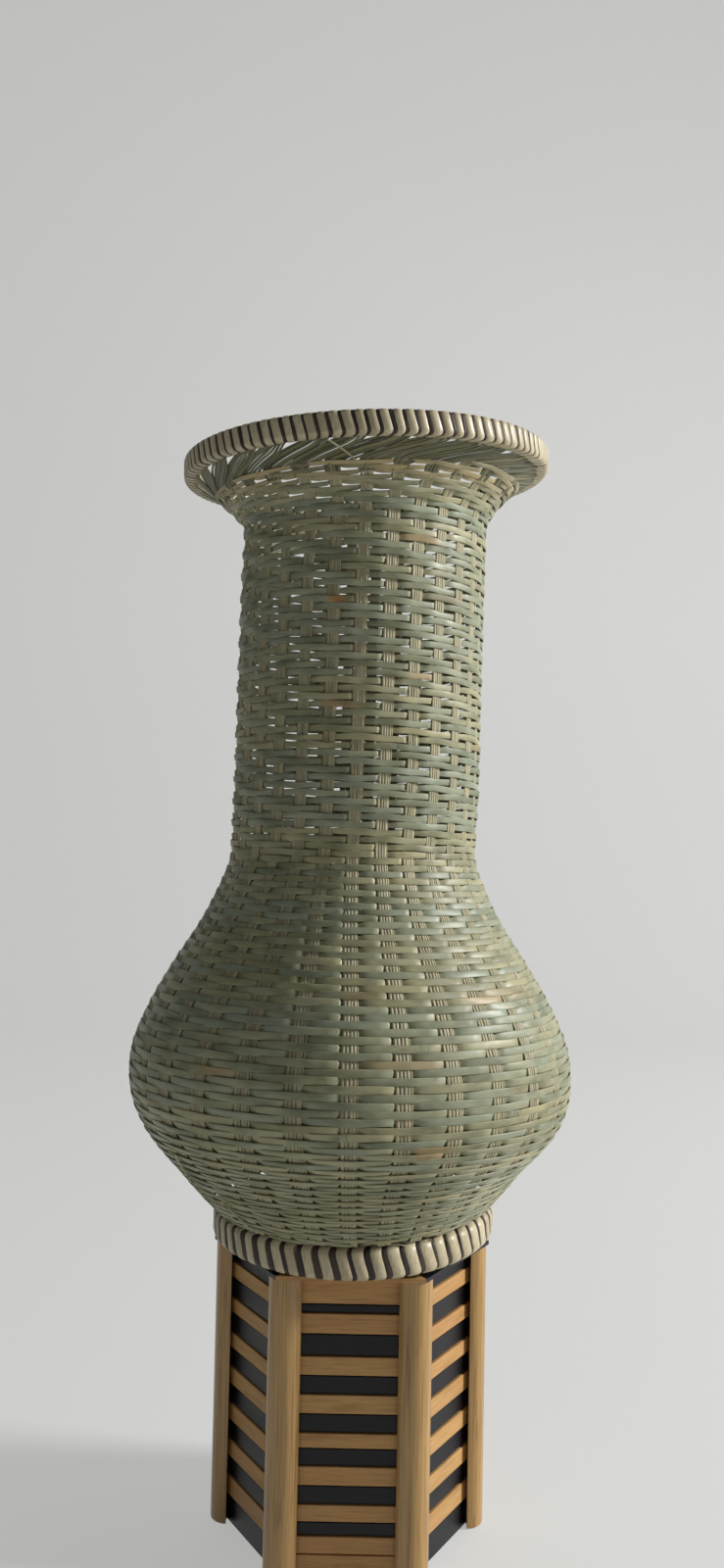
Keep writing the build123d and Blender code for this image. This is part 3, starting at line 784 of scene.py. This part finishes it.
def cane(name, colour, dark, pale):
    """Oiled bamboo cane: a hard shiny skin with long fibres and small dark flecks."""
    made, add, shader = new_material(name, 0.34, coat=0.35)
    # Fibre bundles are about 0.4 mm wide; drawn at 0.7 mm so that they show. Flecks are 2.5 mm
    # wide and patches 25 mm.
    fibres = solid_marks(add, (1.0, 1.0, 0.02), 1400.0, 3.0, 0.6)
    flecks = solid_marks(add, (1.0, 1.0, 0.05), 420.0, 4.0, 0.65)
    patches = solid_marks(add, (1.0, 1.0, 0.4), 38.0, 2.0)
    base = tinted(add, linear(colour), pale, patches, 0.35, 0.7, 0.55)
    lined = tinted(add, base, dark, fibres, 0.44, 0.68, 0.6)
    relief = add("ShaderNodeBump", {"Height": fibres, "Strength": 0.2, "Distance": 0.15 * MM})
    feed(shader, {"Base Color": tinted(add, lined, dark, flecks, 0.6, 0.72, 0.75),
                  "Normal": relief})
    return made


def planed_slat(name, colour, dark, pale, roughness, specular):
    """Planed bamboo laid flat: straight grain along the slat, whichever way it faces."""
    made, add, shader = new_material(name, roughness, specular=specular)
    # Grain is about 0.4 mm wide; drawn at 0.7 mm so that it shows, with streaks of 3 mm. One slat
    # is about 7 mm high, so the patches, 13 mm high, change from slat to slat.
    grain = solid_marks(add, (0.05, 0.05, 1.0), 1500.0, 3.0, 0.6)
    streaks = solid_marks(add, (0.12, 0.12, 1.0), 330.0, 3.0, 0.6)
    patches = solid_marks(add, (0.12, 0.12, 1.0), 75.0, 1.0)
    base = tinted(add, linear(colour), pale, patches, 0.38, 0.62)
    lined = tinted(add, base, dark, grain, 0.45, 0.72, 0.4)
    gloss = add("ShaderNodeMapRange", [patches, 0.3, 0.7, roughness - 0.06, roughness + 0.12])
    relief = add("ShaderNodeBump", {"Height": grain, "Strength": 0.25, "Distance": 0.15 * MM})
    feed(shader, {"Base Color": tinted(add, lined, dark, streaks, 0.55, 0.8, 0.4),
                  "Roughness": gloss, "Normal": relief})
    return made


MADE = {}


def material(name):
    """Each material is made once, when the first piece asks for it."""
    c = colours()
    makers = {
        "weft": (split_bamboo, "Sun-dried green bamboo, split", c.weft, c.weft_warm, c.weft_dark,
                 "#D08C3C", 0.5, 0.1),
        "stake": (split_bamboo, "Split inner bamboo, matt", c.stake, "#BDB38F", "#8A8465",
                  "#B99B62", 0.55, 0.05),
        "border": (split_bamboo, "Split bamboo ends", "#6F6F52", "#857F5C", "#4A4B36",
                   "#B99B62", 0.5, 0.05),
        "splint": (split_bamboo, "Pale bamboo splint", "#B9B48C", "#C8C19A", "#8C8761",
                   "#B99B62", 0.5, 0.05),
        "hoop": (split_bamboo, "Hoop of split cane", "#7E6F49", "#8E7D52", "#4C3F27",
                 "#7E6F49", 0.5, 0.0),
        "pale": (binding_strip, "Scraped pale bamboo strip", c.pale_strip, "#B4A585", "#85775A",
                 0.45, 0.1),
        "dark": (binding_strip, "Smoked bamboo strip", c.dark_strip, "#453529", "#171211",
                 0.6, 0.0),
        "post": (cane, "Oiled bamboo cane", c.post, "#6E4C22", "#C49D60"),
        "natural": (planed_slat, "Planed bamboo slat", c.natural_slat, "#805630", "#C99E64",
                    0.5, 0.4),
        "black": (planed_slat, "Black stained slat", c.black_slat, "#050507", "#18181E",
                  0.36, 0.3)}
    if name not in MADE:
        make, *values = makers[name]
        MADE[name] = make(*values)
    return MADE[name]


# Pieces

class BAMBOO_OT_weft(bpy.types.Operator):
    """Weave the weft strips of belly, neck and mouth"""

    bl_idname = "bamboo.weft"
    bl_label = "Weft"

    def execute(self, context):
        s = sizes()
        wall = Wall()
        chain = weft_chain(wall)
        middle, shoulder, mouth = (wall.walk_at_height(level) for level in
                                   (BELLY_HEIGHT, SHOULDER_HEIGHT, MOUTH_HEIGHT))
        half_neck = (shoulder + mouth) / 2.0
        values = strip_values("weft", NECK_PITCH * s.weft_width, s.weft_thickness, 1.0, 10,
                              0.04, 37.0 * MM)
        zones = [("belly_weft_lower", 0.0, middle, "lower_belly_weave"),
                 ("belly_weft_upper", middle, shoulder, "upper_belly_weave"),
                 ("neck_weft_lower", shoulder, half_neck, "neck_weave"),
                 ("neck_weft_upper", half_neck, mouth, "neck_weave"),
                 ("mouth_weft", mouth, wall.end, "mouth_weave")]
        for name, low, high, replaced in zones:
            sweep(name, [cut_chain(chain, low, high)], values, [replaced])
        return {"FINISHED"}


class BAMBOO_OT_stakes(bpy.types.Operator):
    """Stand the uprights in the weave and bend their ends over under the rim"""

    bl_idname = "bamboo.stakes"
    bl_label = "Uprights"

    def execute(self, context):
        s = sizes()
        wall = Wall()
        rng = np.random.default_rng(5)
        top = wall.walk_at_height(wall.border_start[1]) - 1.0 * MM
        sway = [STAKE_SWAY * rng.uniform(-1.0, 1.0) for _ in range(STAKES)]
        wide = [self.splint(wall, rng, k, place, top, 118, sway[k])
                for k in range(STAKES) for place in SPLINT_PLACES]
        sweep("upright_splints", wide,
              strip_values("stake", s.stake_width * SPLINT_WIDTH, s.stake_thickness, 3.0,
                           variation=0.06), ["uprights"])
        # The thin splint at each upright's right is a real splint, and its pale colour is a painted
        # highlight on the edge that faces the key light
        thin = [self.splint(wall, rng, k, PAINTED_HIGHLIGHT_PLACE, top, 100, sway[k]) for k in range(STAKES)]
        sweep("upright_edges_painted_highlight", thin,
              strip_values("splint", s.stake_width * EDGE_WIDTH,
                           s.stake_thickness * EDGE_THICKNESS, 4.0), ["uprights"])
        self.border(wall, rng, top)
        return {"FINISHED"}

    def splint(self, wall, rng, k, place, top, samples, sway):
        """One splint of an upright, from the foot to the mouth."""
        walk = np.linspace(STAKE_START, top, samples)
        spread = stake_spread(wall, walk)
        stray = soft_noise(walk, *SPLINT_STRAY, int(rng.integers(1e6)))
        offset = (place + stray) * sizes().stake_width
        drift = sway + soft_noise(walk, *STAKE_DRIFT, 100 + k)
        angle = FRONT - TURN * k / STAKES + drift + offset * spread / wall.radius(walk)
        depth = soft_noise(walk, *SPLINT_DEPTH, int(rng.integers(1e6)))
        proud = MM * (PACKED_STAND_OFF * packed_share(walk) + depth)
        points, outward = wall.place(angle, walk, proud)
        return {"points": points, "outward": outward, "along": walk + k * 0.5 + place,
                "tone": rng.uniform(0.0, 1.0), "girth": 1.0 + SPLINT_GROWTH * (spread - 1.0)}

    def border(self, wall, rng, top):
        """The ends of the uprights lean far to the right and run on under the hoop."""
        chains = []
        splints, bundle_width, samples, overlap = 6, 6.6 * MM, 30, 1.08
        walk = np.linspace(top - 5.0 * MM, wall.end - 0.5 * MM, samples)
        # The slope of a bundle in degrees: upright in the weave, then low, then rising into the
        # hoop. It bends over this far to each side of its top, and rises before the wall's end.
        upright, low, rising = 90.0, 21.0, 37.0
        bend, rise_start, rise_length = 1.5 * MM, 7.0 * MM, 5.0 * MM
        lean_in = eased((walk - top + bend) / (2.0 * bend))
        rise_out = np.clip((walk - wall.end + rise_start) / rise_length, 0.0, 1.0)
        slope = np.radians(upright - (upright - low) * lean_in + (rising - low) * rise_out)
        steepest = math.radians(88.0)
        run = np.cumsum(np.diff(walk, prepend=walk[0]) / np.tan(np.minimum(slope, steepest)))
        # In millimetres: how far it stands out at first and sinks in as it leans, how far its
        # splints lie over each other like a fan, and how unevenly
        stand_off, sink, fan, uneven = 0.55, 0.9, 1.1, 0.28
        for k in range(STAKES):
            stretch = rng.uniform(0.94, 1.06)
            for part in range(splints):
                place = (part + 0.5) / splints - 0.5
                spread = 1.0 + soft_noise(walk, 0.06, 19.0 * MM, 7 * k + part)
                aside = place * bundle_width * spread
                arc = run * stretch + aside * np.sin(slope)
                level = np.minimum(walk - aside * np.cos(slope), wall.end)
                angle = FRONT - TURN * k / STAKES + arc / wall.radius(level)
                depth = stand_off - sink * lean_in + fan * place * lean_in
                depth = MM * (depth + uneven * rng.uniform(-1.0, 1.0))
                points, outward = wall.place(angle, level, depth)
                chains.append({"points": points, "outward": outward,
                               "along": walk + k * 0.3 + part, "tone": rng.uniform(0.0, 1.0),
                               "girth": rng.uniform(0.9, 1.15)})
        width = bundle_width / splints * overlap
        sweep("border_ends", chains, strip_values("border", width, 0.45 * MM, 9.0),
              ["mouth_border"])


class BAMBOO_OT_floor(bpy.types.Operator):
    """Weave the floor of the vase, which shows through the neck"""

    bl_idname = "bamboo.floor"
    bl_label = "Floor"

    def execute(self, context):
        radius = FLOOR_HIGH[0] + 0.5 * MM
        level = (FLOOR_LOW[2] + FLOOR_HIGH[2]) / 2.0
        pitch, strip_width, rise = 5.4 * MM, 4.5 * MM, 0.42 * MM
        rows = int(radius / pitch)
        rng = np.random.default_rng(17)
        chains = []
        for row in range(-rows, rows + 1):
            half = math.sqrt(max(radius**2 - (row * pitch) ** 2, 0.0))
            # At least four points from one crossing strip to the next
            run = np.linspace(-half, half, int(half / pitch) * 8 + 9)
            side = np.full_like(run, row * pitch)
            for way in (0, 1):
                wave = rise * np.cos(math.pi * run / pitch) * (1 if (row + way) % 2 else -1)
                flat = (run, side) if way == 0 else (side, run)
                points = np.stack([flat[0], flat[1], level + wave], axis=1)
                up = np.tile((0.0, 0.0, 1.0), (len(run), 1))
                chains.append({"points": points, "outward": up, "along": run + row * 0.2 + way,
                               "tone": rng.uniform(0.0, 1.0), "girth": rng.uniform(0.92, 1.05)})
        sweep("floor_weave", chains, strip_values("stake", strip_width, 0.5 * MM, 21.0),
              ["woven_floor"])
        return {"FINISHED"}


class BAMBOO_OT_bindings(bpy.types.Operator):
    """Wind the pale and the dark strips round the rim and the foot"""

    bl_idname = "bamboo.bindings"
    bl_label = "Bindings"

    def execute(self, context):
        s = sizes()
        rim = self.band(RIM_RADIUS, RIM_MIDDLE, RIM_BAND_WIDTH, RIM_BAND_HEIGHT, RIM_CORNER)
        foot = self.band(FOOT_RADIUS, FOOT_MIDDLE, FOOT_BAND_WIDTH, FOOT_RING_HEIGHT, FOOT_CORNER)
        tree = turns_tree()
        # The shares are how much of the pitch the pale and the dark strip take. The dark one is
        # thinned by a share, and the pale one widened, round an angle.
        self.wind("rim", tree, rim, RIM_RADIUS, s.rim_turns, (0.74, 0.36), (0.2, 0.0), 3, lean)
        self.wind("foot", tree, foot, FOOT_RADIUS, s.foot_turns, (0.61, 0.52), (0.3, -0.6), 31,
                  tip)
        return {"FINISHED"}

    def band(self, radius, level, width, height, corner):
        """The line that the middle of a strip follows in one turn round the hoops."""
        return {"Band middle": (radius - width / 2.0, 0.0, level),
                "Band width": width - STRIP_THICKNESS,
                "Band height": height - STRIP_THICKNESS, "Band corner": corner}

    def wind(self, place, tree, band, radius, turns, shares, thin, seed, move):
        """Both strips of one binding, the dark one half a pitch after the pale one."""
        thin_share, thin_angle = thin
        looks = [("pale", 1.15, 0.88, 1.1, -thin_share), ("dark", 0.7, 0.62, 1.2, thin_share)]
        for index, (shade, thickness, narrowest, widest, thinned) in enumerate(looks):
            values = dict(band)
            values.update({
                "Turns": turns, "Strip width": TURN * radius / turns * shares[index],
                "Strip thickness": STRIP_THICKNESS * thickness, "Slant": BINDING_SLANT,
                "First angle": TURN / turns * 0.5 * index, "Angle jitter": 0.06 * TURN / turns,
                "Narrowest": narrowest, "Widest": widest, "Seed": seed + index,
                "Thin angle": thin_angle, "Thin share": thinned, "Material": material(shade)})
            name = place + "_turns_" + shade
            piece = grown(name, bpy.data.meshes.new(name + "_start"), tree, values, "vase",
                          [place + "_binding_" + shade])
            move_mesh(piece.data, move)


class BAMBOO_OT_hoops(bpy.types.Operator):
    """Bend the hoops that the bindings hold"""

    bl_idname = "bamboo.hoops"
    bl_label = "Hoops"

    def execute(self, context):
        height = RIM_BAND_HEIGHT - 2.0 * BINDING_ROOM
        # The wall's edge is clamped between the two hoops of the rim
        wall_edge, outer_width = 2.0 * MM, 2.0 * MM
        outside = RIM_RADIUS - BINDING_ROOM
        inside = RIM_RADIUS - RIM_BAND_WIDTH + BINDING_ROOM
        inner_width = CLAMPED_RADIUS - wall_edge - inside
        self.hoop("rim_hoop_out", outside - outer_width / 2.0, RIM_MIDDLE, outer_width, height,
                  "rim_hoop_outer", lean)
        self.hoop("rim_hoop_in", inside + inner_width / 2.0, RIM_MIDDLE, inner_width, height,
                  "rim_hoop_inner", lean)
        self.hoop("foot_ring", FOOT_RADIUS - FOOT_BAND_WIDTH / 2.0, FOOT_MIDDLE,
                  FOOT_BAND_WIDTH - 2.0 * BINDING_ROOM, FOOT_RING_HEIGHT - 2.0 * BINDING_ROOM,
                  "foot_hoop", tip)
        return {"FINISHED"}

    def hoop(self, name, radius, level, width, height, replaced, move):
        """A hoop of one split cane, with its ends butted."""
        angle = np.linspace(0.0, TURN * 0.999, 181)
        outward = np.stack([np.cos(angle), np.sin(angle), np.zeros_like(angle)], axis=1)
        points = outward * radius
        points[:, 2] = level
        chain = {"points": points, "outward": outward, "along": angle * radius, "tone": 0.5}
        values = strip_values("hoop", height, width, 2.0, points=16, variation=0.0)
        move_mesh(sweep(name, [chain], values, [replaced]).data, move)


def move_mesh(mesh, move):
    """Moves the points of a finished mesh."""
    count = len(mesh.vertices)
    points = np.empty(count * 3, dtype=np.float32)
    mesh.vertices.foreach_get("co", points)
    moved, _ = move(points.reshape(-1, 3).astype(float), np.zeros((count, 3)))
    mesh.vertices.foreach_set("co", moved.astype(np.float32).ravel())
    mesh.update()


def tip(points, outward):
    """The foot ring lies uneven on the board, and the lowest rows of the weft follow it."""
    points = points.copy()
    points[:, 2] += foot_rise(points)
    points[:, 0] += DRIFT[0][1]
    return points, outward


class BAMBOO_OT_loose(bpy.types.Operator):
    """Add the loose splints, the strip's end at the rim and the stray fibres"""

    bl_idname = "bamboo.loose"
    bl_label = "Loose ends"

    def execute(self, context):
        wall = Wall()
        chains = []
        t = np.linspace(0.0, 1.0, 26)
        bow = np.sin(math.pi * t)
        aside, out = 0.10, 0.15  # the bow as a share of the splint's turn, and in millimetres
        for first, last, high, low, lift in LOOSE_SPLINTS:
            walk = wall.walk_at_height(high + (low - high) * t)
            angle = np.radians(first + (last - first) * (t + aside * bow))
            points, outward = wall.place(angle, walk, MM * (lift + out * bow))
            chains.append({"points": points, "outward": outward, "along": walk, "tone": 0.9})
        sweep("loose_splints", chains, strip_values("splint", 1.0 * MM, 0.35 * MM, 12.0), [])
        self.fibres(wall)
        return {"FINISHED"}

    def fibres(self, wall):
        """Hair-thin fibres that stand off the weave."""
        rng = np.random.default_rng(41)
        low, high = wall.walk_at_height(0.15), wall.walk_at_height(0.44)
        # In millimetres: their lengths, how far they start off the wall and how far they curl out
        lengths, start, curls = (2.0, 9.0), 0.9, (0.3, 1.3)
        t = np.linspace(0.0, 1.0, 7)
        chains = []
        for _ in range(120):
            walk = rng.uniform(low, high)
            angle = rng.uniform(0.0, TURN)
            length = rng.uniform(*lengths) * MM
            turn = length * rng.uniform(-1.0, 1.0) / wall.radius(walk)
            rise = length * rng.uniform(-0.35, 0.35)
            off = MM * (start + rng.uniform(*curls) * t * t)
            points, outward = wall.place(angle + turn * t, walk + rise * t, off)
            chains.append({"points": points, "outward": outward, "along": walk + t * length,
                           "tone": rng.uniform(0.0, 1.0), "girth": 1.0 - 0.6 * t})
        sweep("stray_fibres", chains,
              strip_values("splint", 0.24 * MM, 0.14 * MM, 14.0, points=4), [])


class BAMBOO_OT_stand(bpy.types.Operator):
    """Finish the posts, the slats and the board"""

    bl_idname = "bamboo.stand"
    bl_label = "Stand"

    def execute(self, context):
        finishes = {"corner_post": "post", "natural_slats": "natural", "top_board": "natural",
                    "board_edging_natural": "natural", "black_slats": "black",
                    "board_edging_black": "black"}
        for node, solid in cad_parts.items():
            for start, finish in finishes.items():
                if node.startswith(start):
                    solid.data.materials.clear()
                    solid.data.materials.append(material(finish))
        return {"FINISHED"}


class BAMBOO_OT_stage(bpy.types.Operator):
    """Set the floor, the backdrop, the lights and the camera"""

    bl_idname = "bamboo.stage"
    bl_label = "Stage"

    def execute(self, context):
        scene = context.scene
        scene.view_settings.view_transform = "Standard"
        self.backdrop(scene)
        self.lights(scene)
        data = bpy.data.cameras.new("camera")
        data.sensor_width = SENSOR
        data.lens = SENSOR * FOCAL_PIXELS / FRAME_LONG_SIDE
        camera = bpy.data.objects.new("camera", data)
        tilt = Euler((math.pi / 2.0 + EYE_PITCH, 0.0, 0.0)).to_matrix()
        aim = tilt @ Matrix.Rotation(EYE_ROLL, 3, "Z")
        place = Matrix.Translation((EYE_SIDE, -EYE_DISTANCE, EYE_HEIGHT))
        camera.matrix_world = place @ aim.to_4x4()
        scene.collection.objects.link(camera)
        scene.camera = camera
        return {"FINISHED"}

    def backdrop(self, scene):
        """A pale floor that curves up into a backdrop."""
        half_width, front, back, top, bend, steps = 3.0, -2.5, 2.2, 3.2, 0.8, 16
        section = [(front, 0.0)]
        section += [(back - bend + bend * math.sin(a), bend - bend * math.cos(a))
                    for a in (math.pi / 2.0 * i / steps for i in range(steps + 1))]
        section.append((back, top))
        verts = [(x, y, z) for y, z in section for x in (-half_width, half_width)]
        faces = [(2 * i, 2 * i + 1, 2 * i + 3, 2 * i + 2) for i in range(len(section) - 1)]
        mesh = bpy.data.meshes.new("floor")
        mesh.from_pydata(verts, [], faces)
        mesh.shade_smooth()
        floor = bpy.data.objects.new("floor", mesh)
        scene.collection.objects.link(floor)
        paper, add, shader = new_material("Matt white paper sweep", 0.9)
        feed(shader, {"Base Color": linear("#E6E6E3")})
        # The sweep looks pale to the camera and to gloss, whatever light falls on it
        rays = [add("ShaderNodeLightPath", out=name) for name in ("Is Camera Ray", "Is Glossy Ray")]
        seen = add(MATH, rays, operation="MAXIMUM")
        share = add(MATH, [seen, 0.55], operation="MULTIPLY")
        glow = add("ShaderNodeEmission", [linear("#EDEEEC"), 0.86])
        mixed = add("ShaderNodeMixShader", [share, shader.outputs[0], glow])
        feed(paper.node_tree.nodes["Material Output"], {"Surface": mixed})
        mesh.materials.append(paper)

    def lights(self, scene):
        """A faint even light from the world, and the lamps."""
        scene.world = bpy.data.worlds.new("world")
        scene.world.use_nodes = True
        colour, strength = WORLD_LIGHT
        feed(scene.world.node_tree.nodes["Background"], {0: linear(colour), 1: strength})
        for name, place, size, power in LAMPS:
            data = bpy.data.lights.new(name, "AREA")
            data.shape = "DISK"
            data.size = size
            data.energy = power
            lamp = bpy.data.objects.new(name, data)
            lamp.location = place
            aim = LAMP_TARGET - Vector(place)
            lamp.rotation_euler = aim.to_track_quat("-Z", "Y").to_euler()
            scene.collection.objects.link(lamp)


class BAMBOO_PT_vase(bpy.types.Panel):
    """Buttons and sizes of the vase"""

    bl_label = "Bamboo vase"
    bl_space_type = "VIEW_3D"
    bl_region_type = "UI"
    bl_category = "Bamboo vase"

    def draw(self, context):
        for operator in OPERATORS:
            self.layout.operator(operator.bl_idname)
        for group in (context.scene.vase_sizes, context.scene.vase_colours):
            for name in group.__annotations__:
                self.layout.prop(group, name)


OPERATORS = (BAMBOO_OT_stage, BAMBOO_OT_weft, BAMBOO_OT_stakes, BAMBOO_OT_floor,
             BAMBOO_OT_hoops, BAMBOO_OT_bindings, BAMBOO_OT_loose, BAMBOO_OT_stand)
CLASSES = (VaseSizes, VaseColours) + OPERATORS + (BAMBOO_PT_vase,)


def register():
    for cls in CLASSES:
        bpy.utils.register_class(cls)
    bpy.types.Scene.vase_sizes = bpy.props.PointerProperty(type=VaseSizes)
    bpy.types.Scene.vase_colours = bpy.props.PointerProperty(type=VaseColours)


def unregister():
    del bpy.types.Scene.vase_colours
    del bpy.types.Scene.vase_sizes
    for cls in reversed(CLASSES):
        bpy.utils.unregister_class(cls)


def main():
    register()
    bpy.ops.bamboo.stage()
    bpy.ops.bamboo.weft()
    bpy.ops.bamboo.stakes()
    bpy.ops.bamboo.floor()
    bpy.ops.bamboo.hoops()
    bpy.ops.bamboo.bindings()
    bpy.ops.bamboo.loose()
    bpy.ops.bamboo.stand()
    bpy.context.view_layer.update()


if __name__ == "__main__":
    main()
